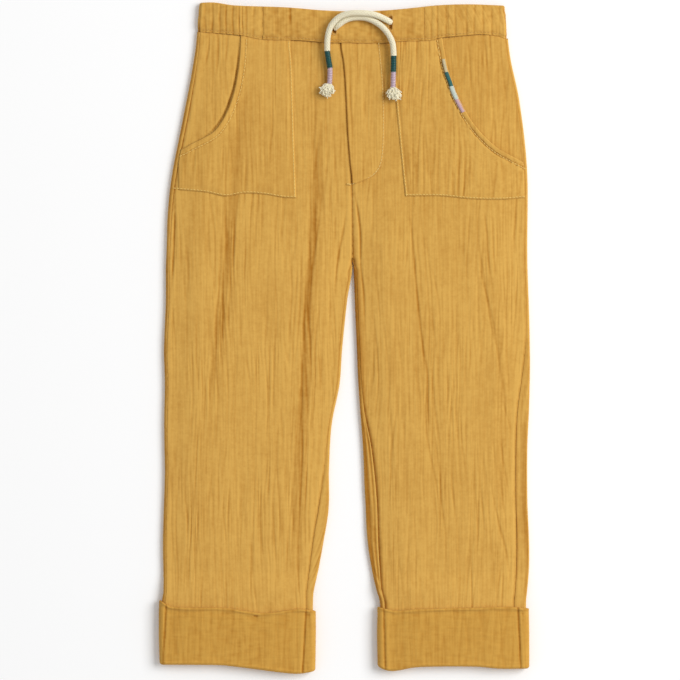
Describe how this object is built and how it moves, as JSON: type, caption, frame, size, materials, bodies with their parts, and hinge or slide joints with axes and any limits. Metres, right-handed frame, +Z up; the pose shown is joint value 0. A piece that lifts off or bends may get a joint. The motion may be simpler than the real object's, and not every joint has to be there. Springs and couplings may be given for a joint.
{
  "type": "baby trousers",
  "caption": "Pull-on baby trousers in crinkled gauze, laid flat, with an elastic waist, drawstring, mock fly, patch pockets and turned-up cuffs.",
  "frame": {"origin": "on the surface the trousers lie on, under the middle of their outline", "axes": "+X to the wearer's left, +Y from the hems to the waist, +Z up off the surface, with the front of the trousers on top"},
  "size_m": [0.256, 0.4624, 0.0147],
  "materials": {
    "gauze": "mustard cotton double gauze, crinkled, matte",
    "gathered_gauze": "mustard cotton double gauze gathered over elastic, matte",
    "sewing_thread": "mustard sewing thread, slight sheen",
    "cord": "cream braided cotton cord, matte",
    "green_thread": "dark green wound thread, slight sheen",
    "lilac_thread": "lilac wound thread, slight sheen",
    "bar_cream": "cream satin stitch, slight sheen",
    "bar_green": "green satin stitch, slight sheen",
    "bar_mint": "pale mint satin stitch, slight sheen",
    "bar_lilac": "pale lilac satin stitch, slight sheen"
  },
  "bodies": {
    "root": {"front_leg_right": "gauze", "front_leg_left": "gauze", "back_leg_right": "gauze", "back_leg_left": "gauze", "pocket_right": "gauze", "pocket_left": "gauze", "mock_fly": "gauze", "waistband_front": "gauze", "waistband_elastic": "gathered_gauze", "buttonhole_right": "sewing_thread", "buttonhole_left": "sewing_thread", "cuff_right": "gauze", "cuff_left": "gauze", "drawstring_right": "cord", "drawstring_left": "cord", "wrap_green_right": "green_thread", "wrap_lilac_right": "lilac_thread", "wrap_green_left": "green_thread", "wrap_lilac_left": "lilac_thread", "tassel_right": "cord", "tassel_left": "cord", "bar_cream": "bar_cream", "bar_green": "bar_green", "bar_mint": "bar_mint", "bar_lilac": "bar_lilac"}
  },
  "joints": []
}
